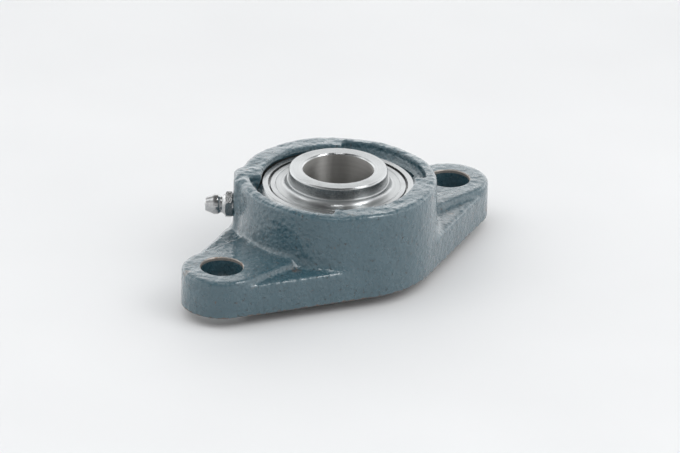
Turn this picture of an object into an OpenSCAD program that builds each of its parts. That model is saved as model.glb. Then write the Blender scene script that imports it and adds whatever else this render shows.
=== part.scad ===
// Two-bolt flange bearing unit: a cast housing with a self-aligning insert ball bearing.
// The shaft runs along Z. The mounting face is z = 0 and the bolts stand on the X axis.

/* [Housing] */
// Distance between the two mounting bolts
bolt_spacing = 90; // [86:0.5:100]
// Diameter of each bolt hole
bolt_hole_d = 12; // [9:0.5:13]
// Chamfer at the mouth of each bolt hole
bolt_hole_chamfer = 0.35; // [0.2:0.05:0.6]
// Radius of the two ends of the flange
ear_r = 11.5; // [11.2:0.1:13]
// Thickness of the flange at its bolt pads
pad_h = 11; // [10:0.25:13]
// How far the side floors of the flange lie below the pads
floor_drop = 1.8; // [1:0.1:2.5]
// Rounding of the upper edges of the flange
flange_round = 1.2; // [0.6:0.1:1.5]
// Radius of the boss at the mounting face
boss_r = 28.7; // [28.2:0.1:30]
// How much narrower the boss is at its rim
boss_draft = 0.5; // [0.2:0.1:1]
// Height of the rim above the mounting face
housing_h = 25.3; // [24.6:0.1:26]
// Rounding of the rim's outer edge
rim_round = 1.4; // [0.6:0.1:2]
// Fillet between the boss and the flange
boss_fillet = 1.8; // [1:0.1:2.5]
// Height of the seat's centre above the mounting face
seat_z = 15; // [14.5:0.1:15.5]
// Running clearance between the insert and its spherical seat
seat_clearance = 0.05; // [0.02:0.01:0.1]

/* [Mouth and crescents in the rim] */
// Radius of the rim's mouth above the spherical seat
mouth_r = 21.7; // [21.3:0.1:22]
// Radius of the upper step of each crescent
crescent_r = 25; // [24.6:0.1:25.6]
// Width of the ledge between the two steps
crescent_ledge = 0.8; // [0.5:0.1:1]
// Depth of the ledge below the rim
ledge_depth = 2.5; // [1.6:0.1:3]
// Depth of the crescent's floor below the rim
crescent_depth = 4.4; // [3.5:0.1:5]
// Half of the angle that each crescent spans
crescent_half_angle = 43; // [36:1:45]
// Clearance each side of the insert in its loading slot
slot_clearance = 0.3; // [0.2:0.05:0.6]

/* [Insert bearing] */
// Diameter of the shaft
bore_d = 20; // [19:0.5:20.6]
// Chamfer at both ends of the bore
bore_chamfer = 0.4; // [0.2:0.1:0.6]
// Diameter of the spherical outer ring
insert_d = 47; // [46.6:0.1:47.4]
// Width of the outer ring
outer_ring_w = 16; // [15.6:0.1:16.6]
// Width of the inner ring
inner_ring_w = 31; // [30.4:0.1:32]
// Diameter of the inner ring
inner_ring_d = 28.2; // [27.8:0.1:28.4]
// Bore of the outer ring at its faces
outer_ring_bore = 39.8; // [39.6:0.1:40.2]
// Number of balls
ball_count = 8; // [7:1:8]
// Diameter of each ball
ball_d = 7.938; // [7.6:0.001:8]
// Diameter of the circle that the balls run on
pitch_d = 33.5; // [33.3:0.05:33.7]
// Clearance between a ball and its raceways
race_clearance = 0.04; // [0.02:0.01:0.08]

/* [Cage] */
// Sheet thickness of the two riveted cage ribbons
cage_t = 0.7; // [0.5:0.05:0.8]
// Width of the cage ribbon across the pitch circle
cage_w = 3; // [2.6:0.1:3.4]
// Clearance between a ball and its pocket
pocket_clearance = 0.08; // [0.05:0.01:0.12]
// Diameter of the cage rivets
rivet_d = 1.1; // [0.9:0.1:1.2]

/* [Seals and flingers] */
// Sheet thickness of the seal shells
shell_t = 0.5; // [0.4:0.05:0.6]
// Clearance between the rubber lip and the inner ring
lip_clearance = 0.06; // [0.02:0.01:0.1]
// Sheet thickness of the flingers
flinger_t = 0.6; // [0.5:0.05:0.8]
// Outer diameter of the flingers
flinger_d = 38.7; // [38.2:0.1:39]
// How far the flinger's disc lies inside the outer ring's face
flinger_inset = 0.25; // [0.1:0.05:0.4]
// Height of the flinger's collar above its disc
flinger_collar_h = 1.7; // [1.2:0.1:2]

/* [Set screws] */
// Thread diameter of the set screws
screw_d = 6; // [5:0.5:6]
// Length of the set screws
screw_len = 5; // [4.8:0.1:5.6]
// Width across flats of their hexagon sockets
socket_af = 3; // [2.5:0.25:3]
// Distance of the screws from the wide end of the inner ring
screw_edge = 4.7; // [4.4:0.1:5]
// Distance between the screws and the collar of the rear flinger
screw_gap = 1.15; // [0.8:0.05:1.5]
// Angle between the two screws
screw_angle = 120; // [90:5:135]

/* [Grease fitting] */
// Height of the fitting's axis above the mounting face
fitting_z = 15.4; // [15:0.1:15.8]
// Direction of the fitting around the housing
fitting_dir = 135; // [130:1:140]
// Width across flats of the fitting's hexagon
fitting_af = 7; // [6:0.5:8]
// Thickness of the hexagon
fitting_hex_t = 2.3; // [2:0.1:3]
// Diameter of the fitting's head
fitting_head_d = 5.8; // [5.4:0.1:6.2]
// Thread diameter of the fitting
fitting_thread_d = 6; // [5:0.5:6]
// How far the fitting lug's flat face stands outside the boss
lug_out = 1.1; // [0.8:0.1:1.5]
// Width of the lug
lug_w = 13; // [11:0.5:15]
// Rounding of the lug's upright edges
lug_round = 2.5; // [1.5:0.1:3]

/* [Hidden] */
$fn = 96;
eps = 0.01;
sphere_r = insert_d / 2;
seat_r = sphere_r + seat_clearance;
bore_r = bore_d / 2;
inner_r = inner_ring_d / 2;
half_w = outer_ring_w / 2;
pitch_r = pitch_d / 2;
ball_r = ball_d / 2;
boss_top_r = boss_r - boss_draft;
floor_h = pad_h - floor_drop;
strip_r = ear_r - flange_round;
strip_foot = ear_r - 0.15;
ring_face = half_w - flinger_inset;
collar_end = ring_face + flinger_collar_h;
inner_in = collar_end + screw_gap + screw_d / 2 + screw_edge;
inner_ring_out = inner_ring_w - inner_in;
lug_r = boss_r + lug_out;
cage_out = ball_r + pocket_clearance + cage_t;

// Flange outline: the middle circle and both ear circles joined by their tangents
module flange_outline(mid_r, end_r) {
    lean = acos((mid_r - end_r) / (bolt_spacing / 2));
    circle(r = mid_r);
    for (s = [-1, 1]) translate([s * bolt_spacing / 2, 0]) circle(r = end_r);
    polygon([for (q = [[1, 1], [-1, 1], [-1, -1], [1, -1]], k = [0, 1])
        let (far = (q[0] * q[1] > 0) == (k == 0), r = far ? end_r : mid_r)
        [q[0] * ((far ? bolt_spacing / 2 : 0) + r * cos(lean)), q[1] * r * sin(lean)]]);
}

// Section with a rounded upper outer edge
module edge_profile(r, h, edge) {
    square([r, h - edge]);
    square([r - edge, h]);
    translate([r - edge, h - edge]) intersection() {
        circle(r = edge);
        square(edge);
    }
}

module round_topped(r, h, edge) {
    rotate_extrude() edge_profile(r, h, edge);
}

// Straight flank between a middle circle and an ear circle, with the same rounded edge
module flanks(mid_r, end_r, h, edge) {
    lean = acos((mid_r - end_r) / (bolt_spacing / 2));
    len = bolt_spacing / 2 * sin(lean);
    deep = end_r;
    for (mx = [0, 1], my = [0, 1]) mirror([mx, 0, 0]) mirror([0, my, 0])
        rotate([0, 0, lean]) translate([mid_r - deep, 0, 0])
            rotate([90, 0, 0]) linear_extrude(height = len) edge_profile(deep, h, edge);
}

// Raised strip from pad to pad, with sloping sides and round ends
module pad_strip() {
    for (s = [-1, 1]) translate([s * bolt_spacing / 2, 0, 0])
        round_topped(ear_r, pad_h, flange_round);
    rotate([90, 0, 90]) translate([0, 0, -bolt_spacing / 2])
        linear_extrude(height = bolt_spacing)
            polygon([[-strip_foot, 0], [strip_foot, 0], [strip_foot, floor_h - 0.3],
                [strip_r, pad_h], [-strip_r, pad_h], [-strip_foot, floor_h - 0.3]]);
}

// Fillet ring that runs up the boss from the height z, sunk a little into both
module boss_foot(z) {
    toe = boss_r + boss_fillet - 0.1;
    translate([0, 0, z - 0.02]) rotate_extrude() difference() {
        square([toe, boss_fillet]);
        translate([toe, boss_fillet]) circle(r = boss_fillet);
    }
}

module boss() {
    wall = housing_h - rim_round;
    rotate_extrude() {
        polygon([[0, 0], [boss_r, 0], [boss_r, floor_h + boss_fillet / 2],
            [boss_top_r, wall], [boss_top_r - rim_round, housing_h], [0, housing_h]]);
        translate([boss_top_r - rim_round, wall]) intersection() {
            circle(r = rim_round);
            square(rim_round);
        }
    }
}

// Lug that carries the grease fitting, flat outside and as high as the boss
module fitting_lug() {
    turn_in = lug_w / 2 - lug_round;
    rotate([0, 0, fitting_dir]) {
        for (s = [-1, 1]) translate([lug_r - lug_round, s * turn_in, 0])
            round_topped(lug_round, housing_h, rim_round);
        translate([lug_r - 2 * lug_round, turn_in, 0]) rotate([90, 0, 0])
            linear_extrude(height = 2 * turn_in) edge_profile(2 * lug_round, housing_h, rim_round);
        translate([seat_r + 1, -lug_w / 2, 0])
            cube([lug_r - lug_round - seat_r - 1, lug_w, housing_h - rim_round]);
    }
}

// Sector of a disc about the +X direction
module sector(r, half) {
    intersection() {
        circle(r = r);
        polygon([[0, 0], [2 * r, -2 * r * tan(half)], [2 * r, 2 * r * tan(half)]]);
    }
}

// Crescents that let the insert be turned into its seat, with their loading slots
module crescents() {
    for (s = [0, 180]) rotate([0, 0, s]) {
        translate([0, 0, housing_h - ledge_depth])
            linear_extrude(height = ledge_depth + 1) sector(crescent_r, crescent_half_angle);
        translate([0, 0, housing_h - crescent_depth])
            linear_extrude(height = crescent_depth + 1)
                sector(crescent_r - crescent_ledge, crescent_half_angle - 1.5);
        intersection() {
            translate([0, 0, seat_z]) cylinder(h = housing_h, r = seat_r + slot_clearance);
            translate([0, -half_w - slot_clearance, seat_z - 1])
                cube([2 * seat_r, outer_ring_w + 2 * slot_clearance, housing_h]);
        }
    }
}

groove_depth = 0.8;
thread_wall = 1.25;
spot_r = lug_r - 0.2;
passage_d = 2.5;
thread_len = spot_r - seat_r - groove_depth - thread_wall;

module along_fitting() {
    translate([0, 0, fitting_z]) rotate([0, 0, fitting_dir]) rotate([0, 90, 0]) children();
}

module housing() {
    color("lightslategray") difference() {
        union() {
            flanks(boss_r, ear_r, floor_h, flange_round);
            pad_strip();
            boss();
            fitting_lug();
            intersection() {
                boss_foot(floor_h);
                translate([0, 0, floor_h - 0.5]) linear_extrude(height = 2 * boss_fillet)
                    flange_outline(boss_r - flange_round - 0.1, ear_r - flange_round - 0.1);
            }
            intersection() {
                boss_foot(pad_h);
                translate([-bolt_spacing / 2, -strip_r + 0.4, pad_h - 0.5])
                    cube([bolt_spacing, 2 * strip_r - 0.8, 2 * boss_fillet]);
            }
        }
        translate([0, 0, seat_z]) sphere(r = seat_r);
        translate([0, 0, -1])
            cylinder(h = seat_z - half_w, r = sqrt(pow(seat_r, 2) - pow(half_w + 1, 2)));
        translate([0, 0, -eps]) cylinder(h = 1.6, r1 = boss_r - 5.2, r2 = boss_r - 6.8);
        intersection() {
            translate([0, 0, seat_z]) sphere(r = seat_r + groove_depth);
            translate([0, 0, fitting_z + 0.2])
                cylinder(h = seat_z + oil_z + 0.8 - fitting_z - 0.2, r = 2 * seat_r);
        }
        translate([0, 0, seat_z + half_w]) cylinder(h = housing_h, r = mouth_r);
        crescents();
        for (s = [-1, 1]) translate([s * bolt_spacing / 2, 0, 0]) {
            translate([0, 0, -1]) cylinder(h = pad_h + 2, d = bolt_hole_d);
            translate([0, 0, pad_h - bolt_hole_chamfer])
                cylinder(h = bolt_hole_chamfer + eps, d1 = bolt_hole_d,
                    d2 = bolt_hole_d + 2 * (bolt_hole_chamfer + eps));
        }
        along_fitting() {
            translate([0, 0, sphere_r - 1]) cylinder(h = spot_r - sphere_r + 1, d = passage_d);
            translate([0, 0, spot_r - thread_len - 0.4])
                cylinder(h = thread_len + 1, d = fitting_thread_d + 0.06);
            translate([0, 0, spot_r]) cylinder(h = 3, d = fitting_af / cos(30) + 0.8);
        }
    }
}

// Raceway groove as a ring of circular section, set off so that the ball only just clears it
module race(side, conform = 0.52) {
    groove_r = ball_d * conform;
    rotate_extrude() translate([pitch_r - side * (groove_r - ball_r - race_clearance), 0])
        circle(r = groove_r);
}

seal_z = cage_out + 0.5;
oil_z = seal_z - 0.9;
shell_bore = outer_ring_bore / 2;
shoulder_r = shell_bore - 0.9;
ring_break = 0.6;
oil_hole_d = 1;
ring_face_r = sqrt(pow(sphere_r, 2) - pow(half_w, 2)) - ring_break;

module outer_ring() {
    color("lightsteelblue") translate([0, 0, seat_z]) difference() {
        intersection() {
            sphere(r = sphere_r);
            rotate_extrude() polygon([[0, -half_w], [ring_face_r, -half_w],
                [ring_face_r + 3, 3 - half_w], [ring_face_r + 3, half_w - 3],
                [ring_face_r, half_w], [0, half_w]]);
        }
        cylinder(h = outer_ring_w + 2, r = shoulder_r, center = true);
        for (s = [0, 1]) mirror([0, 0, s]) translate([0, 0, seal_z])
            cylinder(h = half_w, r = shell_bore);
        race(1);
        translate([0, 0, oil_z]) difference() {
            cylinder(h = 1.2, r = sphere_r + 1, center = true);
            cylinder(h = 2, r = sphere_r - 0.9, center = true);
        }
        rotate([0, 0, fitting_dir]) translate([shoulder_r - 1, 0, oil_z])
            rotate([0, 90, 0]) cylinder(h = sphere_r - shoulder_r + 2, d = oil_hole_d);
    }
}

module seal_shell(side) {
    color("gray") translate([0, 0, seat_z]) mirror([0, 0, side]) rotate_extrude() {
        translate([shell_bore - shell_t - 0.02, seal_z]) square([shell_t, 0.9]);
        translate([inner_r + 1.5, seal_z]) square([shell_bore - inner_r - 1.6, shell_t]);
    }
}

module seal_lip(side) {
    color("saddlebrown") translate([0, 0, seat_z]) mirror([0, 0, side]) rotate_extrude() difference() {
        union() {
            translate([inner_r + 0.7, seal_z - 0.15]) square([2.4, shell_t + 0.35]);
            polygon([[inner_r + lip_clearance, seal_z + 0.9], [inner_r + 0.8, seal_z - 0.1],
                [inner_r + 1.4, seal_z + 0.3], [inner_r + lip_clearance + 0.1, seal_z + 1.2]]);
        }
        translate([inner_r + 1.5, seal_z]) square([5, shell_t]);
    }
}

module inner_ring() {
    chamfer = 0.6;
    color("silver") translate([0, 0, seat_z]) difference() {
        rotate_extrude() polygon([[bore_r + bore_chamfer, inner_ring_out],
            [bore_r, inner_ring_out - bore_chamfer], [bore_r, bore_chamfer - inner_in],
            [bore_r + bore_chamfer, -inner_in], [inner_r - chamfer, -inner_in],
            [inner_r, chamfer * 1.6 - inner_in], [inner_r, inner_ring_out - chamfer * 1.6],
            [inner_r - chamfer, inner_ring_out]]);
        race(-1);
        for (a = [0, screw_angle]) rotate([0, 0, screw_dir + a])
            translate([bore_r - 1, 0, screw_edge - inner_in]) rotate([0, 90, 0])
                cylinder(h = inner_r, d = screw_d);
    }
}

screw_dir = -90;

// Pressed ring: a disc with a bead, a turned-in edge and a flared collar on the inner ring
module flinger(side) {
    top = ring_face;
    flare = flinger_collar_h;
    edge_r = flinger_d / 2;
    grip_r = inner_r + eps;
    collar_r = grip_r + flinger_t;
    sweep_r = flare * 0.8;
    color("gainsboro") translate([0, 0, seat_z]) mirror([0, 0, side]) rotate_extrude() difference() {
        union() {
            translate([grip_r, top - flinger_t]) square([edge_r - grip_r, flinger_t]);
            translate([edge_r - flinger_t, top - 0.9]) square([flinger_t, 0.9]);
            translate([grip_r, top - flinger_t]) square([flinger_t, flinger_t + flare]);
            difference() {
                translate([grip_r, top - eps]) square(flinger_t + sweep_r);
                translate([collar_r + sweep_r, top + sweep_r]) circle(r = sweep_r);
            }
        }
        translate([edge_r - 1.45, top + 0.1]) circle(r = 0.25);
    }
}

// Set screw along the inner ring's radius, with a cup point and a hexagon socket
module set_screw(angle) {
    tip = bore_r + 0.2;
    color("dimgray") translate([0, 0, seat_z - inner_in + screw_edge])
        rotate([0, 0, screw_dir + angle]) rotate([0, 90, 0]) difference() {
            union() {
                translate([0, 0, tip + 0.8]) cylinder(h = screw_len - 1.2, d = screw_d - 0.06);
                translate([0, 0, tip]) cylinder(h = 0.8, d1 = screw_d - 1.8, d2 = screw_d - 0.06);
                translate([0, 0, tip + screw_len - 0.4])
                    cylinder(h = 0.4, d1 = screw_d - 0.06, d2 = screw_d - 0.9);
            }
            translate([0, 0, tip - eps]) cylinder(h = 0.8, d1 = screw_d - 3, d2 = 0.4);
            translate([0, 0, tip + screw_len - 2.4]) cylinder(h = 3, d = socket_af / cos(30), $fn = 6);
        }
}

module each_ball(places = [0:ball_count - 1]) {
    for (i = places) rotate([0, 0, 360 * (i + 0.5) / ball_count]) translate([pitch_r, 0, 0]) children();
}

// Half of the cage: a flat ribbon with a round pocket over every ball
module cage_half(side) {
    color("darkkhaki") translate([0, 0, seat_z]) mirror([0, 0, side]) intersection() {
        difference() {
            cylinder(h = cage_out, r = pitch_r + cage_w / 2);
            translate([0, 0, -1]) cylinder(h = cage_out + 2, r = pitch_r - cage_w / 2);
        }
        difference() {
            union() {
                cylinder(h = cage_t, r = pitch_r + cage_w);
                each_ball() sphere(r = cage_out);
            }
            each_ball() sphere(r = ball_r + pocket_clearance);
            for (i = [0:ball_count - 1]) rotate([0, 0, 360 * i / ball_count])
                translate([pitch_r, 0, -1]) cylinder(h = 3, d = rivet_d + 0.04);
        }
    }
}

module cage_rivets() {
    head = 0.4;
    color("darkkhaki") translate([0, 0, seat_z]) for (i = [0:ball_count - 1])
        rotate([0, 0, 360 * i / ball_count]) translate([pitch_r, 0, 0]) {
            cylinder(h = 2 * cage_t + head, d = rivet_d, center = true);
            for (s = [0, 1]) mirror([0, 0, s]) translate([0, 0, cage_t])
                cylinder(h = head, d1 = rivet_d + 0.7, d2 = rivet_d + 0.2);
        }
}

module ball(i) {
    color("white") translate([0, 0, seat_z]) each_ball([i - 1]) sphere(r = ball_r);
}

// Lubrication nipple: thread, hexagon, waist and the head that a grease gun grips
head_end = fitting_hex_t + 5.7;
hex_lift = 0.4;
seat_hole = 0.75;
check_r = 0.95;
bore_in = 1.03;
check_z = head_end - sqrt(pow(check_r + 0.03, 2) - pow(seat_hole, 2));

module fitting_body() {
    thread_r = fitting_thread_d / 2;
    head_r = fitting_head_d / 2;
    waist_r = head_r - 0.5;
    color("silver") along_fitting() translate([0, 0, spot_r]) difference() {
        union() {
            translate([0, 0, -thread_len]) cylinder(h = thread_len, r = thread_r);
            cylinder(h = 1, r = thread_r + 0.35);
            intersection() {
                cylinder(h = fitting_hex_t, d = fitting_af / cos(30), $fn = 6);
                rotate_extrude() polygon([[0, hex_lift], [fitting_af / 2 + 0.2, hex_lift],
                    [fitting_af / 2 + 0.6, hex_lift + 0.25], [fitting_af / 2 + 0.6, fitting_hex_t - 0.4],
                    [fitting_af / 2 + 0.1, fitting_hex_t], [0, fitting_hex_t]]);
            }
            translate([0, 0, fitting_hex_t - eps]) rotate_extrude()
                polygon([[0, 0], [waist_r + 0.7, 0], [waist_r, 0.9], [waist_r, 1.3], [head_r, 2.1],
                    [head_r, 3.2], [head_r - 0.25, 3.7], [2.1, 5.2], [1.9, 5.71], [0, 5.71]]);
        }
        translate([0, 0, -thread_len - 1]) cylinder(h = thread_len + 3, r = 0.6);
        translate([0, 0, 1.6]) cylinder(h = check_z - 1.6, r = bore_in);
        translate([0, 0, check_z]) sphere(r = check_r + 0.03);
        translate([0, 0, check_z]) cylinder(h = 3, r = seat_hole);
    }
}

module fitting_ball() {
    color("lightgray") along_fitting() translate([0, 0, spot_r + check_z]) sphere(r = check_r);
}

// Coil that holds the ball against the mouth of the fitting
module fitting_spring() {
    turns = 4;
    wire = 0.28;
    coil_r = 0.8;
    from = 1.7;
    len = check_z - check_r * 0.75 - from;
    half = 180 * wire / (len / turns);
    color("gray") along_fitting() translate([0, 0, spot_r + from])
        linear_extrude(height = len, twist = -360 * turns, slices = 16 * turns, $fn = 8)
            polygon([for (k = [-3:3]) let (a = half * k / 3) (coil_r + wire / 2) * [cos(a), sin(a)],
                for (k = [-3:3]) let (a = -half * k / 3) (coil_r - wire / 2) * [cos(a), sin(a)]]);
}

housing();
outer_ring();
seal_shell(0);  // front_seal_shell
seal_lip(0);  // front_seal_lip
seal_shell(1);  // rear_seal_shell
seal_lip(1);  // rear_seal_lip
inner_ring();
flinger(0);  // front_flinger
flinger(1);  // rear_flinger
set_screw(0);  // set_screw_1
set_screw(screw_angle);  // set_screw_2
cage_half(0);  // cage_front
cage_half(1);  // cage_rear
cage_rivets();
ball(1);  // ball_1
ball(2);  // ball_2
ball(3);  // ball_3
ball(4);  // ball_4
ball(5);  // ball_5
ball(6);  // ball_6
ball(7);  // ball_7
ball(8);  // ball_8
fitting_body();
fitting_ball();
fitting_spring();
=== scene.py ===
# Looks of a two-bolt flange bearing unit: painted sand-cast iron around a ground steel insert
import bpy
import numpy as np
from math import sin, cos, sqrt, radians, degrees, atan2, pi
from mathutils import Matrix, Vector


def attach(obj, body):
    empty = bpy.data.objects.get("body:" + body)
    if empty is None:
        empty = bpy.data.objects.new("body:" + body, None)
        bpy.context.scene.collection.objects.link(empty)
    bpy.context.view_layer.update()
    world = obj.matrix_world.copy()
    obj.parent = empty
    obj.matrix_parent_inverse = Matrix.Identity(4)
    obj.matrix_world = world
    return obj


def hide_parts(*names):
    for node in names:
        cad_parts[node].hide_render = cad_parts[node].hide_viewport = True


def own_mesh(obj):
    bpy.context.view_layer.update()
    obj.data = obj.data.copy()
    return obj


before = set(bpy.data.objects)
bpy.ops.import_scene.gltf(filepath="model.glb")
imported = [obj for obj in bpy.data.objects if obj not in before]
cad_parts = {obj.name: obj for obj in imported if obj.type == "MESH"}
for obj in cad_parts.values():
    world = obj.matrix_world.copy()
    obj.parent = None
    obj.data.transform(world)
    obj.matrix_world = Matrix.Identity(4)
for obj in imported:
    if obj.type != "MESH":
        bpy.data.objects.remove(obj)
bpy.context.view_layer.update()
mm = 0.001
print("frame loaded:", len(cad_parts), "parts")


# ---- small helpers for modelling by hand

def clearSelection():
    if bpy.context.mode != "OBJECT":
        bpy.ops.object.mode_set(mode="OBJECT")
    bpy.ops.object.select_all(action="DESELECT")


def named(name):
    obj = bpy.context.object
    obj.name = obj.data.name = name
    return obj


def pick(obj):
    clearSelection()
    bpy.context.view_layer.objects.active = obj
    obj.select_set(True)


def settle(obj):
    pick(obj)
    bpy.ops.object.transform_apply(location=True, rotation=True, scale=True)


def addModifier(obj, kind, **settings):
    pick(obj)
    bpy.ops.object.modifier_add(type=kind)
    modifier = obj.modifiers[-1]
    for key, value in settings.items():
        setattr(modifier, key, value)
    bpy.ops.object.modifier_apply(modifier=modifier.name)


def combine(obj, other, operation):
    addModifier(obj, "BOOLEAN", object=other, operation=operation, solver="MANIFOLD")
    bpy.data.objects.remove(other)


def turn(name, profile, steps=96, ring=True, along=None):
    # Lathe work: a circle drawn out station by station, each station a radius and a height in mm
    clearSelection()
    radius, height = profile[0]
    bpy.ops.mesh.primitive_circle_add(vertices=steps, radius=radius * mm, location=(0, 0, height * mm),
                                      fill_type="NOTHING" if ring else "NGON")
    obj = named(name)
    settle(obj)
    bpy.ops.object.mode_set(mode="EDIT")
    bpy.ops.mesh.select_all(action="SELECT")
    for nextRadius, nextHeight in profile[1:]:
        rise = {"value": (0, 0, (nextHeight - height) * mm)}
        if ring:
            bpy.ops.mesh.extrude_edges_move(TRANSFORM_OT_translate=rise)
        else:
            bpy.ops.mesh.extrude_region_move(TRANSFORM_OT_translate=rise)
        if nextRadius != radius:
            grow = nextRadius / radius
            bpy.ops.transform.resize(value=(grow, grow, 1), center_override=(0, 0, nextHeight * mm))
        radius, height = nextRadius, nextHeight
    if ring:
        bpy.ops.mesh.select_all(action="DESELECT")
        bpy.ops.mesh.select_non_manifold()
        bpy.ops.mesh.bridge_edge_loops()
    bpy.ops.mesh.select_all(action="SELECT")
    bpy.ops.mesh.normals_make_consistent(inside=False)
    bpy.ops.object.mode_set(mode="OBJECT")
    if along:                                    # lay the turned piece along another line
        obj.matrix_world = along
        settle(obj)
    return obj


def arc(centreR, centreZ, radius, fromDeg, toDeg, count):
    angles = [radians(fromDeg + (toDeg - fromDeg) * k / count) for k in range(count + 1)]
    return [(centreR + radius * cos(a), centreZ + radius * sin(a)) for a in angles]


def coordinates(obj):
    points = np.empty(len(obj.data.vertices) * 3)
    obj.data.vertices.foreach_get("co", points)
    return points.reshape(-1, 3) / mm


def weigh(obj, name, weights):
    # A vertex group with the given weight at each vertex, in 20 levels
    group = obj.vertex_groups.new(name=name)
    levels = np.round(np.clip(weights, 0, 1) * 20).astype(int)
    for level in range(1, 21):
        group.add(np.nonzero(levels == level)[0].tolist(), level / 20, "REPLACE")
    return name


def smoothEdges(obj, angle, evenFaces=True):
    pick(obj)
    bpy.ops.object.shade_smooth_by_angle(angle=radians(angle))
    if evenFaces:                                # flat faces stay flat beside their small bevels
        addModifier(obj, "WEIGHTED_NORMAL", keep_sharp=True, weight=100)


def roundEdges(obj, width, angle, segments=2):
    addModifier(obj, "BEVEL", width=width * mm, segments=segments, limit_method="ANGLE",
                angle_limit=radians(angle))


def cutAway(point, outwards):
    # In edit mode: whatever lies beyond the plane goes and the cut is closed
    bpy.ops.mesh.select_all(action="SELECT")
    bpy.ops.mesh.bisect(plane_co=point, plane_no=outwards, clear_outer=True, use_fill=True)


def dress(obj, materials, body, slotName, *nodes):
    obj.data.materials.clear()                   # Booleans leave empty slots behind
    obj.data.polygons.foreach_set("material_index", [0] * len(obj.data.polygons))
    for material in materials:
        obj.data.materials.append(material)
    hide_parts(*nodes)
    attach(obj, body)


# ---- small helpers for materials

def newMaterial(name, **sockets):
    material = bpy.data.materials.new(name)
    material.use_nodes = True
    shader = material.node_tree.nodes["Principled BSDF"]
    for socket, value in sockets.items():
        shader.inputs[socket.replace("_", " ")].default_value = value
    return material, material.node_tree, shader


def add(tree, kind, inputs=None, **settings):
    node = tree.nodes.new("ShaderNode" + kind)
    for key, value in settings.items():
        setattr(node, key, value)
    for key, value in (inputs or {}).items():
        if hasattr(value, "is_output"):
            tree.links.new(value, node.inputs[key])
        else:
            node.inputs[key].default_value = value
    return node


def wire(tree, shader, **sockets):
    for socket, value in sockets.items():
        tree.links.new(value, shader.inputs[socket.replace("_", " ")])


def noiseAt(tree, place, scale, detail, roughness=0.55):
    return add(tree, "TexNoise", {"Vector": place, "Scale": scale, "Detail": detail,
                                  "Roughness": roughness}).outputs["Fac"]


def ramp(tree, value, *stops):
    # Stops are (position, colour), a colour being a grey level or three numbers
    node = add(tree, "ValToRGB", {"Fac": value})
    while len(node.color_ramp.elements) < len(stops):
        node.color_ramp.elements.new(0.5)
    for element, (position, colour) in zip(node.color_ramp.elements, stops):
        element.position = position
        element.color = (*colour, 1) if isinstance(colour, tuple) else (colour, colour, colour, 1)
    return node.outputs["Color"]


def mixed(tree, factor, a, b):
    node = add(tree, "Mix", data_type="RGBA")
    for socket, value in ((node.inputs[0], factor), (node.inputs[6], a), (node.inputs[7], b)):
        if hasattr(value, "is_output"):
            tree.links.new(value, socket)
        else:
            socket.default_value = (*value, 1) if isinstance(value, tuple) else value
    return node.outputs[2]


def darker(colour, share):
    return tuple(share * c for c in colour)


def maths(tree, operation, a, b=0.0, c=0.0):
    return add(tree, "Math", {0: a, 1: b, 2: c}, operation=operation).outputs[0]


def bump(tree, height, distance, strength, under=None):
    inputs = {"Height": height, "Distance": distance, "Strength": strength}
    if under:
        inputs["Normal"] = under
    return add(tree, "Bump", inputs).outputs["Normal"]


def objectPlace(tree):
    return add(tree, "TexCoord").outputs["Object"]


def turnedPlace(tree):
    # Distance from the shaft's line and height, so that marks run round the piece
    spot = objectPlace(tree)
    parts = add(tree, "SeparateXYZ", {0: spot})
    flat = add(tree, "CombineXYZ", {"X": parts.outputs["X"], "Y": parts.outputs["Y"]})
    radius = add(tree, "VectorMath", {0: flat.outputs[0]}, operation="LENGTH").outputs["Value"]
    return add(tree, "CombineXYZ", {"X": radius, "Y": parts.outputs["Z"]}).outputs[0], spot


# ---- materials

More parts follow.
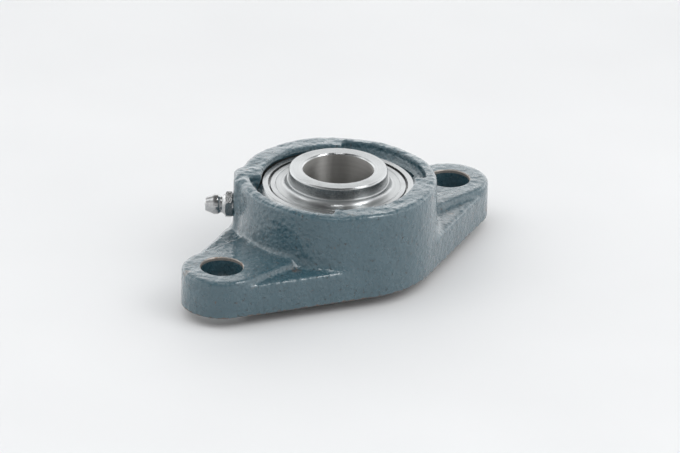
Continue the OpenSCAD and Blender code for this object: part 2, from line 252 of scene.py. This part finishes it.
def enamelOnIron():
    look = {"blue": (0.027, 0.077, 0.102), "pale": (0.04, 0.097, 0.125), "deep": (0.008, 0.022, 0.03),
            "rust": (0.075, 0.045, 0.03), "smooth": 0.22, "dull": 0.42,
            "barePlaces": ((-28.6, -13.1, 9.8, 1.5), (-31.9, 11, 10.5, 0.9), (-33.3, 15, 10, 0.8),
                           (-54.8, 4.2, 10.3, 1.3), (31, -14.5, 10, 1.2), (51, -9, 3, 1.3),
                           (27, 8.5, 20, 0.9), (14, 26, 6, 1.1))}
    material, tree, shader = newMaterial("enamelledIron", IOR=1.6, Coat_Weight=1.0, Coat_Roughness=0.1)
    place = objectPlace(tree)
    clouds = noiseAt(tree, place, 140, 5)
    colour = mixed(tree, ramp(tree, clouds, (0.35, 0.0), (0.7, 1.0)), look["blue"], look["pale"])
    # Pits: real hollows in the enamel, bumped as dents further down; their near-black colour is painted shade
    # in the pits
    pits = ramp(tree, noiseAt(tree, place, 900, 3, 0.6), (0.28, 1.0), (0.36, 0.0))
    colour = mixed(tree, pits, colour, look["deep"])
    spots = maths(tree, "MULTIPLY", ramp(tree, noiseAt(tree, place, 620, 2), (0.71, 0.0), (0.75, 1.0)),
                  ramp(tree, noiseAt(tree, place, 90, 2), (0.5, 0.0), (0.62, 1.0)))
    colour = mixed(tree, spots, colour, look["rust"])
    ragged = maths(tree, "MULTIPLY_ADD", noiseAt(tree, place, 700, 4, 0.7), 0.0022, -0.0011)
    specks = ramp(tree, noiseAt(tree, place, 1500, 3, 0.6), (0.44, 0.15), (0.54, 0.9))
    for x, y, z, reach in look["barePlaces"]:    # rust where the paint missed a corner or was knocked off
        away = add(tree, "VectorMath", {0: place, 1: (x * mm, y * mm, z * mm)},
                   operation="DISTANCE").outputs["Value"]
        away = maths(tree, "MULTIPLY_ADD", maths(tree, "ADD", away, ragged), 400 / reach, 0.1)
        bare = maths(tree, "MULTIPLY", ramp(tree, away, (0.35, 1.0), (0.6, 0.0)), specks)
        colour = mixed(tree, bare, colour, look["rust"])
    low = maths(tree, "ADD", add(tree, "SeparateXYZ", {0: place}).outputs["Z"], ragged)
    foot = ramp(tree, maths(tree, "MULTIPLY", low, 1000), (0.0, 1.0), (0.25, 0.0))
    colour = mixed(tree, foot, colour, look["rust"])     # a thin line along the mounting face
    rough = ramp(tree, noiseAt(tree, place, 400, 4), (0.3, look["smooth"]), (0.75, look["dull"]))
    peel = noiseAt(tree, place, 420, 3, 0.5)
    grains = noiseAt(tree, place, 1050, 5, 0.62)
    sand = add(tree, "TexVoronoi", {"Vector": place, "Scale": 900, "Randomness": 1.0},
               feature="SMOOTH_F1").outputs["Distance"]
    normal = bump(tree, peel, 0.0006, 0.35)
    normal = bump(tree, grains, 0.0007, 0.55, normal)
    normal = bump(tree, ramp(tree, sand, (0.05, 1.0), (0.55, 0.0)), 0.0003, 0.6, normal)
    normal = bump(tree, maths(tree, "SUBTRACT", 1, pits), 0.0004, 0.8, normal)
    wire(tree, shader, Base_Color=colour, Roughness=rough, Normal=normal)
    return material


def bareIron(name, steel, rust, amount, roughness, metallic=0.9):
    material, tree, shader = newMaterial(name, Metallic=metallic)
    turned, place = turnedPlace(tree)
    lines = noiseAt(tree, turned, 3500, 2)
    patches = ramp(tree, noiseAt(tree, place, 260, 5, 0.65), (0.62 - amount, 0.0), (0.75 - amount, 1.0))
    metal = mixed(tree, ramp(tree, lines, (0.3, 0.0), (0.7, 1.0)), steel, darker(steel, 0.6))
    wire(tree, shader, Base_Color=mixed(tree, patches, metal, rust),
         Roughness=ramp(tree, patches, (0.0, roughness), (1.0, 0.8)), Normal=bump(tree, lines, 0.00002, 0.6))
    return material


def groundSteel(name, colour, roughness, lineHeight, anisotropy):
    material, tree, shader = newMaterial(name, Metallic=1.0, Anisotropic=anisotropy, Anisotropic_Rotation=0.25)
    turned, place = turnedPlace(tree)
    fine = noiseAt(tree, turned, 9000, 3)
    broad = noiseAt(tree, turned, 1300, 3)
    wear = noiseAt(tree, place, 300, 5, 0.6)
    tone = mixed(tree, ramp(tree, broad, (0.3, 0.0), (0.7, 1.0)), colour, darker(colour, 0.86))
    worn = mixed(tree, ramp(tree, wear, (0.62, 0.0), (0.8, 0.5)), tone, darker(colour, 0.7))
    rough = maths(tree, "ADD", ramp(tree, fine, (0.3, roughness * 0.8), (0.7, roughness * 1.2)),
                  ramp(tree, wear, (0.4, 0.0), (0.9, 0.12)))
    wire(tree, shader, Base_Color=worn, Roughness=rough,
         Tangent=add(tree, "Tangent", direction_type="RADIAL", axis="Z").outputs[0],
         Normal=bump(tree, fine, lineHeight, 0.5))
    return material


def platedSteel(name, colour, roughness, grain):
    # Zinc plate, pressed sheet, ball and spring steel: fine mottling with a few scuffs
    material, tree, shader = newMaterial(name, Metallic=1.0)
    place = objectPlace(tree)
    mottle = noiseAt(tree, place, grain, 5, 0.6)
    scuffs = ramp(tree, noiseAt(tree, place, grain * 2.5, 2), (0.66, 0.0), (0.74, 1.0))
    tone = mixed(tree, ramp(tree, mottle, (0.3, 0.0), (0.7, 1.0)), colour, darker(colour, 0.8))
    wire(tree, shader, Base_Color=mixed(tree, scuffs, tone, darker(colour, 0.55)),
         Roughness=ramp(tree, mottle, (0.3, roughness * 0.75), (0.75, roughness * 1.4)),
         Normal=bump(tree, mottle, 0.00003, 0.5))
    return material


def dullFinish(name, grainScale, dark, light, smooth, dull, height, strength, **sockets):
    # Seal rubber and black oxide: an even fine grain
    material, tree, shader = newMaterial(name, **sockets)
    grain = noiseAt(tree, objectPlace(tree), grainScale, 4)
    wire(tree, shader, Base_Color=ramp(tree, grain, (0.3, dark), (0.8, light)),
         Roughness=ramp(tree, grain, (0.3, smooth), (0.7, dull)), Normal=bump(tree, grain, height, strength))
    return material


enamel = enamelOnIron()
seatIron = bareIron("seatIron", (0.2, 0.19, 0.18), (0.12, 0.06, 0.035), amount=0.05, roughness=0.4)
holeIron = bareIron("holeIron", (0.42, 0.385, 0.355), (0.22, 0.14, 0.1), amount=0.08, roughness=0.4,
                    metallic=0.4)
ringSteel = groundSteel("ringSteel", (0.445, 0.46, 0.465), roughness=0.22, lineHeight=0.000006, anisotropy=0.7)
boreSteel = groundSteel("boreSteel", (0.52, 0.515, 0.5), roughness=0.42, lineHeight=0.000008, anisotropy=0.9)
sheetSteel = groundSteel("sheetSteel", (0.47, 0.485, 0.49), roughness=0.3, lineHeight=0.000004, anisotropy=0.65)
zincPlate = platedSteel("zincPlate", (0.5, 0.51, 0.515), roughness=0.2, grain=1600)
shellSteel = platedSteel("shellSteel", (0.5, 0.5, 0.5), roughness=0.35, grain=1400)
cageSteel = platedSteel("cageSteel", (0.48, 0.44, 0.38), roughness=0.38, grain=1300)
ballSteel = platedSteel("ballSteel", (0.78, 0.78, 0.78), roughness=0.08, grain=900)
springSteel = platedSteel("springSteel", (0.4, 0.4, 0.4), roughness=0.3, grain=1800)
rubber = dullFinish("sealRubber", 2200, (0.05, 0.02, 0.012), (0.09, 0.04, 0.025), smooth=0.5, dull=0.68,
                    height=0.00003, strength=0.5, Specular_IOR_Level=0.35)
screwBlack = dullFinish("blackOxide", 1500, (0.02, 0.02, 0.022), (0.055, 0.055, 0.06), smooth=0.35, dull=0.5,
                        height=0.00002, strength=0.4, Metallic=0.7)
print("materials made")


# ---- housing: the casting as it leaves the sand, then its machined faces

casting = {"boltX": 45, "earR": 11.5, "padTop": 11, "floorTop": 9.2, "edgeRound": 1.2,
           "bossFoot": 28.7, "bossFootZ": 10.1, "bossTop": 28.2, "rimTop": 25.3, "rimRound": 1.4,
           "lugFace": 29.8, "lugWide": 13, "lugDeep": 10, "lugRound": 4, "lugDeg": 135,
           "mouthR": 21.7, "mouthZ": 22.5, "ledge": (24.95, 22.8, 43), "crescent": (24.6, 22.2, 42),
           "crescentFloor": (22.7, 20.6), "crescentEndRound": 1.8, "below": -2.5, "above": 30, "voxel": 0.4}
sandSkin = {"footR": (29.3, 1.6, 1.6), "footFrom": (7.8, 0.8), "footTo": (14, 1.5), "footPasses": 30,
            "lugSides": (15, 1.5, 4), "lugFromR": 26.5, "lugPasses": 25, "allPasses": 4,
            "all": ((7, 0.22), (1.6, 0.22)), "rim": ((4.5, 0.8), (1.9, 0.3)), "rimFrom": (24.4, 0.7)}
machining = {"seatZ": 15, "seatR": 23.55, "seatSpan": (6.0, 26), "grooveR": 24.35, "grooveZ": (15.6, 20.15),
             "rearMouth": ((24.5, -1), (21.9, 1.6)), "rearR": 21.76, "rearZ": 1.65,
             "slotR": 23.85, "slotHalf": 8.3, "slotTop": 28,
             "holeR": 6, "holeChamfer": 0.35, "holeFlare": (1, 0.65), "holeBare": 1.1,
             "fittingZ": 15.4, "oilHole": (1.25, 22), "threadHole": (3.03, 25.2),
             "spotR": 29.6, "spotWide": 4.44, "spotEnd": 34, "paintEdge": 23.2}


def selectUprights(obj, wanted):
    # Leaves the piece in edit mode with its upright edges selected where wanted
    pick(obj)
    bpy.ops.object.mode_set(mode="EDIT")
    bpy.ops.mesh.select_mode(type="EDGE")
    bpy.ops.mesh.select_all(action="DESELECT")
    bpy.ops.object.mode_set(mode="OBJECT")
    for edge in obj.data.edges:
        a, b = (obj.data.vertices[i].co for i in edge.vertices)
        edge.select = abs(a.z - b.z) > 1 * mm and (a - b).xy.length < 0.01 * mm and wanted(a)
    bpy.ops.object.mode_set(mode="EDIT")


def barBetween(name, radii, top):
    # Discs in a row wrapped in one hull, with the upper edge rounded
    clearSelection()
    low, discs = casting["below"], []
    for x, radius in radii:
        bpy.ops.mesh.primitive_cylinder_add(vertices=96, radius=radius * mm, depth=(top - low) * mm,
                                            location=(x * mm, 0, (top + low) / 2 * mm))
        discs.append(bpy.context.object)
    for disc in discs:
        disc.select_set(True)
    bpy.ops.object.join()
    obj = named(name)
    settle(obj)
    bpy.ops.object.mode_set(mode="EDIT")
    bpy.ops.mesh.select_all(action="SELECT")
    bpy.ops.mesh.convex_hull()
    bpy.ops.mesh.select_all(action="SELECT")
    bpy.ops.mesh.dissolve_limited(angle_limit=radians(1))
    bpy.ops.object.mode_set(mode="OBJECT")
    roundEdges(obj, casting["edgeRound"], 50, segments=4)
    return obj


def bossBlank():
    foot, top, rim, edge = (casting[k] for k in ("bossFoot", "bossTop", "rimTop", "rimRound"))
    profile = [(foot, casting["below"]), (foot, casting["bossFootZ"]),
               *arc(top - edge, rim - edge, edge, 0, 90, 6)]
    return turn("bossBlank", profile, 128, ring=False)


def lugBlank():
    face, wide, deep, low, high = (casting[k] for k in ("lugFace", "lugWide", "lugDeep", "below", "rimTop"))
    clearSelection()
    bpy.ops.mesh.primitive_cube_add(size=1, location=((face - deep / 2) * mm, 0, (low + high) / 2 * mm),
                                    scale=(deep * mm, wide * mm, (high - low) * mm))
    obj = named("lugBlank")
    settle(obj)
    selectUprights(obj, lambda spot: spot.x > (face - 0.1) * mm)
    bpy.ops.mesh.bevel(offset=casting["lugRound"] * mm, segments=5, affect="EDGES")
    bpy.ops.object.mode_set(mode="OBJECT")
    roundEdges(obj, casting["rimRound"], 50, segments=4)
    obj.rotation_euler.z = radians(casting["lugDeg"])
    settle(obj)
    return obj


def crescentCutter(radius, floor, half, *below):
    # Two opposite sectors of a turned disc, cut from it by bisecting
    sectors = []
    for side in (0, 180):
        obj = turn("sector", [*below, (radius, floor), (radius, casting["above"])], 128, ring=False)
        bpy.ops.object.mode_set(mode="EDIT")
        ends = []
        for way in (-1, 1):
            a = radians(side + way * half)
            cutAway((0, 0, 0), (-sin(a) * way, cos(a) * way, 0))
            ends.append(Vector((cos(a), sin(a), 0)) * radius * mm)
        selectUprights(obj, lambda spot: any((spot - end).xy.length < 0.05 * mm for end in ends))
        bpy.ops.mesh.bevel(offset=casting["crescentEndRound"] * mm, segments=5, affect="EDGES")
        bpy.ops.object.mode_set(mode="OBJECT")
        sectors.append(obj)
    clearSelection()
    for obj in sectors:
        obj.select_set(True)
    bpy.context.view_layer.objects.active = sectors[0]
    bpy.ops.object.join()
    return named("crescentCutter")


def roughen(obj, size, depth, group=""):
    texture = bpy.data.textures.new("sandSkin", "CLOUDS")
    texture.noise_scale, texture.noise_depth = size * mm, 2
    pick(obj)
    bpy.ops.object.modifier_add(type="DISPLACE")
    modifier = obj.modifiers[-1]
    modifier.texture, modifier.texture_coords = texture, "LOCAL"
    modifier.strength, modifier.mid_level, modifier.vertex_group = depth * mm, 0.75, group
    bpy.ops.object.modifier_apply(modifier=modifier.name)


def band(values, centre, peak, wide):
    # Full weight around the centre, fading on both sides
    return np.clip(peak - np.abs(values - centre) / wide, 0, 1)


def castHousing():
    boltX, ear, mouthR = (casting[k] for k in ("boltX", "earR", "mouthR"))
    blank = barBetween("housingCast", [(-boltX, ear), (0, casting["bossFoot"]), (boltX, ear)],
                       casting["floorTop"])
    others = [barBetween("strip", [(-boltX, ear), (boltX, ear)], casting["padTop"]), bossBlank(), lugBlank()]
    pick(blank)
    for other in others:
        other.select_set(True)
    bpy.ops.object.join()
    addModifier(blank, "REMESH", mode="VOXEL", voxel_size=casting["voxel"] * mm)
    mouth = turn("mouth", [(mouthR, casting["mouthZ"]), (mouthR, casting["above"])], 128, ring=False)
    combine(blank, mouth, "DIFFERENCE")
    combine(blank, crescentCutter(*casting["ledge"]), "DIFFERENCE")
    combine(blank, crescentCutter(*casting["crescent"], casting["crescentFloor"]), "DIFFERENCE")
    addModifier(blank, "REMESH", mode="VOXEL", voxel_size=casting["voxel"] * mm)
    print("casting remeshed:", len(blank.data.polygons), "faces")
    return blank


def blendCasting(blank):
    # Fillets at the boss's foot and beside the lug, then the whole casting a little
    x, y, z = coordinates(blank).T
    r = np.hypot(x, y)
    (low, rise), (high, fall) = sandSkin["footFrom"], sandSkin["footTo"]
    foot = (band(r, *sandSkin["footR"]) * np.clip((z - low) / rise, 0, 1)
            * np.clip((high - z) / fall, 0, 1))
    addModifier(blank, "SMOOTH", factor=0.5, iterations=sandSkin["footPasses"],
                vertex_group=weigh(blank, "bossFoot", foot))
    fromLug = np.abs((np.degrees(np.arctan2(y, x)) - casting["lugDeg"] + 180) % 360 - 180)
    lug = band(fromLug, *sandSkin["lugSides"]) * np.clip(r - sandSkin["lugFromR"], 0, 1)
    addModifier(blank, "SMOOTH", factor=0.5, iterations=sandSkin["lugPasses"],
                vertex_group=weigh(blank, "lugBlend", lug))
    addModifier(blank, "SMOOTH", factor=0.5, iterations=sandSkin["allPasses"])


def sandCasting(blank):
    # The skin the sand leaves: broad and fine everywhere, deeper in patches along the rim
    x, y, z = coordinates(blank).T
    around = np.arctan2(y, x)
    patches = np.clip(0.5 + 0.4 * np.sin(3 * around + 0.6) + 0.35 * np.sin(8 * around + 2), 0.2, 1)
    low, rise = sandSkin["rimFrom"]
    rim = weigh(blank, "rim", np.clip((z - low) / rise, 0, 1) * patches)
    for size, depth in sandSkin["all"]:
        roughen(blank, size, depth)
    for size, depth in sandSkin["rim"]:
        roughen(blank, size, depth, rim)


def machineHousing(blank):
    m, padTop = machining, casting["padTop"]
    pick(blank)
    bpy.ops.object.mode_set(mode="EDIT")
    bpy.ops.mesh.select_all(action="SELECT")
    bpy.ops.mesh.bisect(plane_co=(0, 0, 0), plane_no=(0, 0, 1), clear_inner=True, use_fill=True)
    bpy.ops.object.mode_set(mode="OBJECT")

    def onSphere(radius, low, high, count):
        return [(sqrt(radius ** 2 - (z - m["seatZ"]) ** 2), z) for z in np.linspace(low, high, count)]

    (start, end), (low, high) = m["seatSpan"], m["grooveZ"]
    sphere = [*onSphere(m["seatR"], start, low, 10), *onSphere(m["grooveR"], low, high, 5),
              *onSphere(m["seatR"], high, end, 9)]
    tools = [turn("seatTool", [*m["rearMouth"], (m["rearR"], m["rearZ"]), *sphere], 160, ring=False)]
    r, (wider, higher) = m["holeR"], m["holeFlare"]
    for side in (-1, 1):
        drill = turn("drill", [(r, -1), (r, padTop - m["holeBare"]), (r, padTop - m["holeChamfer"]),
                               (r + wider, padTop + higher)], ring=False)
        drill.location.x = side * casting["boltX"] * mm
        settle(drill)
        tools.append(drill)
    slotTool = turn("slotTool", [(m["slotR"], m["seatZ"]), (m["slotR"], m["slotTop"])], 128, ring=False)
    bpy.ops.object.mode_set(mode="EDIT")
    for way in (-1, 1):
        cutAway((0, way * m["slotHalf"] * mm, 0), (0, way, 0))
    bpy.ops.object.mode_set(mode="OBJECT")
    tools.append(slotTool)
    (oilR, oilFrom), (threadR, threadFrom) = m["oilHole"], m["threadHole"]
    spot = [(oilR, oilFrom), (oilR, threadFrom), (threadR, threadFrom), (threadR, m["spotR"]),
            (m["spotWide"], m["spotR"]), (m["spotWide"], m["spotEnd"])]
    tools.append(turn("spotTool", spot, 64, ring=False, along=fittingLine()))
    for tool in tools:
        combine(blank, tool, "DIFFERENCE")


def fittingLine():
    return (Matrix.Translation((0, 0, machining["fittingZ"] * mm))
            @ Matrix.Rotation(radians(casting["lugDeg"]), 4, "Z") @ Matrix.Rotation(radians(90), 4, "Y"))


def paintHousing(obj):
    # Enamel all over but for the seat, the rear mouth, the mounting face and the bolt holes' upper ends
    m = machining
    dress(obj, [enamel, seatIron, holeIron], "housing", "enamelled_iron", "housing")
    bareFrom, bareTo = casting["padTop"] - m["holeBare"], casting["padTop"] + 0.4
    for face in obj.data.polygons:
        x, y, z = (c / mm for c in face.center)
        radius, around = sqrt(x * x + y * y), atan2(y, x)
        fromHole = sqrt((abs(x) - casting["boltX"]) ** 2 + y * y)
        fromSeat = sqrt(x * x + y * y + (z - m["seatZ"]) ** 2)
        paintEdge = m["paintEdge"] + 0.15 * sin(7 * around) + 0.1 * sin(23 * around + 1)
        onSeat = abs(fromSeat - m["seatR"]) < 0.03 or abs(fromSeat - m["grooveR"]) < 0.03
        inRear = radius < m["rearR"] + 0.2 and z < 7 or radius < 23.6 and z < 1.6
        underneath = z < 0.02 and face.normal.z < -0.9
        if z < paintEdge and (onSeat or inRear) or underneath:
            face.material_index = 1
        elif fromHole < m["holeR"] + 0.6 and bareFrom < z < bareTo and face.normal.z < 0.9:
            face.material_index = 2
    smoothEdges(obj, 40, evenFaces=False)


housing = castHousing()
blendCasting(housing)
sandCasting(housing)
machineHousing(housing)
paintHousing(housing)
print("housing done:", len(housing.data.polygons), "faces")


# ---- insert: outer ring, inner ring and the two flingers, all turned

insert = {"centreZ": 15, "sphereR": 23.5, "sphereZ": 7.09, "halfWide": 8, "faceR": 21.5, "boreR": 19.9,
          "shoulderR": 19.0, "sealZ": 5.25, "raceR": 4.128, "raceOut": 16.631, "raceOutEdge": 3.38,
          "oilZ": 4.349, "oilHalf": 0.6, "oilFloor": 22.6,
          "shaftR": 10, "boreChamfer": 0.4, "innerR": 14.1, "edgeChamfer": (0.32, 0.5), "innerOut": 12.7,
          "innerIn": 18.3, "raceIn": 16.869, "raceInEdge": 3.061,
          "screwR": 3, "screwZ": 1.4, "screwSpan": (8, 16), "screwDeg": (-90, 30)}
pressing = {"top": 7.75, "gripR": 14.11, "gripFrom": 0.6, "lipZ": 9.45, "lipWide": 0.45,
            "throat": (16.07, 9.11, 1.36), "bead": (17.9, 7.85, 0.25),
            "skirt": ((19.1, 0), (19.3, 0.1), (19.35, 0.3), (19.35, 0.9), (18.75, 0.9), (18.75, 0.6))}


def lift(profile, side=1):
    return [(r, insert["centreZ"] + side * z) for r, z in profile]


def outerRing():
    s, wide, face, bore, seal, shoulder = (insert[k] for k in ("sphereR", "halfWide", "faceR", "boreR",
                                                               "sealZ", "shoulderR"))

    def ball(low, high, count):
        return [(sqrt(s * s - z * z), z) for z in np.linspace(low, high, count)]

    oilFrom, oilTo = insert["oilZ"] - insert["oilHalf"], insert["oilZ"] + insert["oilHalf"]
    edge = degrees(atan2(insert["raceOutEdge"], shoulder - insert["raceOut"]))
    profile = [*ball(-insert["sphereZ"], oilFrom, 12), (insert["oilFloor"], oilFrom),
               (insert["oilFloor"], oilTo), *ball(oilTo, insert["sphereZ"], 4),
               (face, wide), (bore, wide), (bore, seal), (shoulder, seal),
               *arc(insert["raceOut"], 0, insert["raceR"], edge, -edge, 14),
               (shoulder, -seal), (bore, -seal), (bore, -wide), (face, -wide)]
    obj = turn("outerRingTurned", lift(profile), 160)
    roundEdges(obj, 0.1, 35)
    dress(obj, [ringSteel], "outer_ring", "ground_steel", "outer_ring")
    smoothEdges(obj, 25)


def innerRing():
    out, low, r, bore = insert["innerOut"], -insert["innerIn"], insert["innerR"], insert["shaftR"]
    race, cut, (inset, drop) = insert["raceIn"], insert["boreChamfer"], insert["edgeChamfer"]
    edge = degrees(atan2(insert["raceInEdge"], race - r))
    profile = [(bore + cut, out), (bore, out - cut), (bore, low + cut), (bore + cut, low), (r - inset, low),
               (r, low + drop)]
    profile += [(2 * race - a, z) for a, z in arc(race, 0, insert["raceR"], -edge, edge, 14)]
    profile += [(r, out - drop), (r - inset, out)]
    obj = turn("innerRingTurned", lift(profile), 160)
    roundEdges(obj, 0.08, 25)
    for direction in insert["screwDeg"]:
        along = (Matrix.Translation((0, 0, insert["screwZ"] * mm))
                 @ Matrix.Rotation(radians(direction), 4, "Z") @ Matrix.Rotation(radians(90), 4, "Y"))
        hole = [(insert["screwR"], reach) for reach in insert["screwSpan"]]
        combine(obj, turn("screwDrill", hole, 64, ring=False, along=along), "DIFFERENCE")
    dress(obj, [ringSteel, boreSteel], "inner_ring", "ground_steel", "inner_ring")
    for face in obj.data.polygons:
        if face.center.xy.length < (bore + 0.1) * mm and abs(face.normal.z) < 0.5:
            face.material_index = 1
    smoothEdges(obj, 25)


def flinger(name, side):
    top, grip, lip = pressing["top"], pressing["gripR"], pressing["lipZ"]
    profile = [(grip, top - pressing["gripFrom"]), (grip, lip), (grip + pressing["lipWide"], lip),
               *arc(*pressing["throat"], 180, 270, 10), *arc(*pressing["bead"], 204, 336, 5)]
    profile += [(r, top - drop) for r, drop in pressing["skirt"]]
    obj = turn(name + "Pressed", lift(profile, side), 160)
    roundEdges(obj, 0.05, 40)
    dress(obj, [sheetSteel], "inner_ring", "pressed_steel", name)
    smoothEdges(obj, 30)


outerRing()
innerRing()
flinger("front_flinger", 1)
flinger("rear_flinger", -1)
print("insert done")


# ---- grease fitting: hexagon, waist and head in one turned piece

nipple = {"threadR": 3, "threadLong": 4, "threadTip": (2.6, 0.4), "collar": (0.35, 1),
          "acrossFlats": 7, "hexFoot": 0.4, "hexThick": 2.3,
          "head": [(3.1, 0), (2.4, 0.9), (2.4, 1.3), (2.9, 2.1), (2.9, 3.2), (2.65, 3.7), (2.1, 5.2),
                   (1.9, 5.7), (0.75, 5.7), (0.75, 4.2)]}


def greaseFitting():
    foot, top, half = nipple["hexFoot"], nipple["hexThick"], nipple["acrossFlats"] / 2
    clearSelection()
    bpy.ops.mesh.primitive_cylinder_add(vertices=6, radius=nipple["acrossFlats"] / sqrt(3) * mm,
                                        depth=(top - foot) * mm, location=(0, 0, (top + foot) / 2 * mm),
                                        rotation=(0, 0, radians(30)))
    hexagon = named("fittingTurned")
    settle(hexagon)
    corners = [(half + 0.2, foot), (half + 0.6, foot + 0.25), (half + 0.6, top - 0.4), (half + 0.1, top)]
    combine(hexagon, turn("corners", corners, ring=False), "INTERSECT")      # chamfers on the points
    r, low, (tipR, tipLong), (wider, high) = (nipple["threadR"], -nipple["threadLong"], nipple["threadTip"],
                                              nipple["collar"])
    stem = [(tipR, low), (r, low + tipLong), (r, 0), (r + wider, 0), (r + wider, high)]
    stem += [(radius, top + z) for radius, z in nipple["head"]]
    combine(hexagon, turn("stem", stem, ring=False), "UNION")
    roundEdges(hexagon, 0.08, 35)
    hexagon.matrix_world = fittingLine() @ Matrix.Translation((0, 0, machining["spotR"] * mm))
    settle(hexagon)
    dress(hexagon, [zincPlate], "housing", "zinc_steel", "fitting_body")
    smoothEdges(hexagon, 30)


spring = {"foot": 1.7, "long": 4.85, "turns": 5, "coilR": 0.8, "wireR": 0.14, "travel": 1}


def coilSpring():
    # The wire's circle screwed up along the fitting's line
    clearSelection()
    bpy.ops.mesh.primitive_circle_add(vertices=10, radius=spring["wireR"] * mm,
                                      location=(spring["coilR"] * mm, 0, 0), rotation=(radians(90), 0, 0),
                                      fill_type="NOTHING")
    obj = named("springCoiled")
    settle(obj)
    addModifier(obj, "SCREW", axis="Z", angle=2 * pi, iterations=spring["turns"], steps=24, render_steps=24,
                screw_offset=spring["long"] / spring["turns"] * mm)
    bpy.ops.object.mode_set(mode="EDIT")
    bpy.ops.mesh.select_all(action="SELECT")
    bpy.ops.mesh.fill_holes(sides=0)
    bpy.ops.mesh.select_all(action="SELECT")
    bpy.ops.mesh.normals_make_consistent(inside=False)
    bpy.ops.object.mode_set(mode="OBJECT")
    line = fittingLine() @ Matrix.Translation((0, 0, (machining["spotR"] + spring["foot"]) * mm))
    obj.matrix_world = line
    settle(obj)
    dress(obj, [springSteel], "housing", "spring_steel", "fitting_spring")
    smoothEdges(obj, 50)
    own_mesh(obj)


greaseFitting()
coilSpring()
print("fitting done")


# ---- parts that keep their own shape and get a finish

finishes = {"front_seal_shell": shellSteel, "rear_seal_shell": shellSteel,
            "front_seal_lip": rubber, "rear_seal_lip": rubber,
            "cage_front": cageSteel, "cage_rear": cageSteel, "cage_rivets": cageSteel,
            "set_screw_1": screwBlack, "set_screw_2": screwBlack, "fitting_ball": ballSteel,
            **{"ball_%d" % k: ballSteel for k in range(1, 9)}}
for node, finish in finishes.items():
    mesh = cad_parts[node].data
    mesh.materials.clear()
    mesh.materials.append(finish)
print("carried parts finished")


# ---- studio: pale table, soft light, the photograph's camera

studio = {"floorZ": -3.32, "lens": 7020.6 / 680 * 36, "eye": (-1275.04, -1288.77, 856.59),
          "right": (0.71812, -0.69551, 0.02379), "up": (0.27914, 0.31919, 0.90565),
          "tableTones": ((0.3, (0.745, 0.755, 0.765)), (0.8, (0.785, 0.795, 0.805))),
          "sweepByHeight": ((0.0, 0.8), (0.2, 1.0), (0.4, 1.0), (0.6, 0.35), (0.8, 0.12)),
          "ahead": (0.704, 0.71), "sweepByDepth": ((0.1, 0.3), (0.5, 0.55), (0.85, 1.0)), "sweepPower": 1.8,
          "screenByWidth": ((0.3, 0.0), (0.8, 1.0)), "screenPower": 0.5}


def table():
    clearSelection()
    bpy.ops.mesh.primitive_grid_add(x_subdivisions=8, y_subdivisions=8, size=6,
                                    location=(0, 0, studio["floorZ"] * mm))
    top = named("tableTop")
    settle(top)
    material, tree, shader = newMaterial("paleTable", Roughness=0.6)
    haze = noiseAt(tree, objectPlace(tree), 12, 2)
    wire(tree, shader, Base_Color=ramp(tree, haze, *studio["tableTones"]))
    top.data.materials.append(material)


def softBox(name, location, size, power, mirrored=True, lighting=True):
    clearSelection()
    bpy.ops.object.light_add(type="AREA", location=location)
    lamp = named(name)
    lamp.data.shape, lamp.data.size, lamp.data.size_y = "RECTANGLE", size, size
    lamp.data.energy, lamp.visible_glossy, lamp.visible_diffuse = power, mirrored, lighting
    lamp.rotation_euler = (-Vector(location)).to_track_quat("-Z", "Y").to_euler()


def camera():
    right, up, eye = (Vector(studio[k]) for k in ("right", "up", "eye"))
    back = right.cross(up)
    clearSelection()
    bpy.ops.object.camera_add()
    cam = named("photoCamera")
    cam.matrix_world = Matrix.Translation(eye * mm) @ Matrix((right, up, back)).transposed().to_4x4()
    cam.data.sensor_width, cam.data.lens = 36, studio["lens"]
    cam.data.clip_start, cam.data.clip_end = 0.1, 50
    bpy.context.scene.camera = cam


def sky():
    # A bright paper sweep low behind the table and a white screen on each side, dark overhead and at the camera
    world = bpy.data.worlds.new("studioAir")
    world.use_nodes = True
    bpy.context.scene.world = world
    tree = world.node_tree
    shade = tree.nodes["Background"]
    way = add(tree, "SeparateXYZ", {0: add(tree, "TexCoord").outputs["Generated"]}).outputs
    east, north = studio["ahead"]
    height = ramp(tree, way["Z"], *studio["sweepByHeight"])
    depth = maths(tree, "ADD", maths(tree, "MULTIPLY", way["X"], 0.5 * east),
                  maths(tree, "MULTIPLY_ADD", way["Y"], 0.5 * north, 0.5))
    sweep = maths(tree, "MULTIPLY", height, ramp(tree, depth, *studio["sweepByDepth"]))
    sweep = maths(tree, "MULTIPLY", sweep, studio["sweepPower"])
    across = maths(tree, "SUBTRACT", maths(tree, "MULTIPLY", way["X"], north),
                   maths(tree, "MULTIPLY", way["Y"], east))
    screens = ramp(tree, maths(tree, "ABSOLUTE", across), *studio["screenByWidth"])
    tree.links.new(maths(tree, "MULTIPLY_ADD", screens, studio["screenPower"], sweep), shade.inputs["Strength"])
    shade.inputs["Color"].default_value = (1, 1, 1, 1)


table()
sky()
softBox("fill", (-0.25, -0.25, 1.28), 2, 12.6, mirrored=False)
for side, spot, power in (("Front", (-0.12, -0.12, 1.24), 1.6), ("Right", (0.33, -0.48, 1.11), 3.2)):
    softBox("glints" + side, spot, 0.3, power, lighting=False)       # seen only as highlights on edges
softBox("leftSide", (-0.535, 0.66, 0.85), 0.5, 1)
softBox("rightSide", (0.305, -0.79, 0.85), 0.5, 2.2)
bpy.context.scene.view_settings.view_transform = "Standard"
camera()
print("studio set")
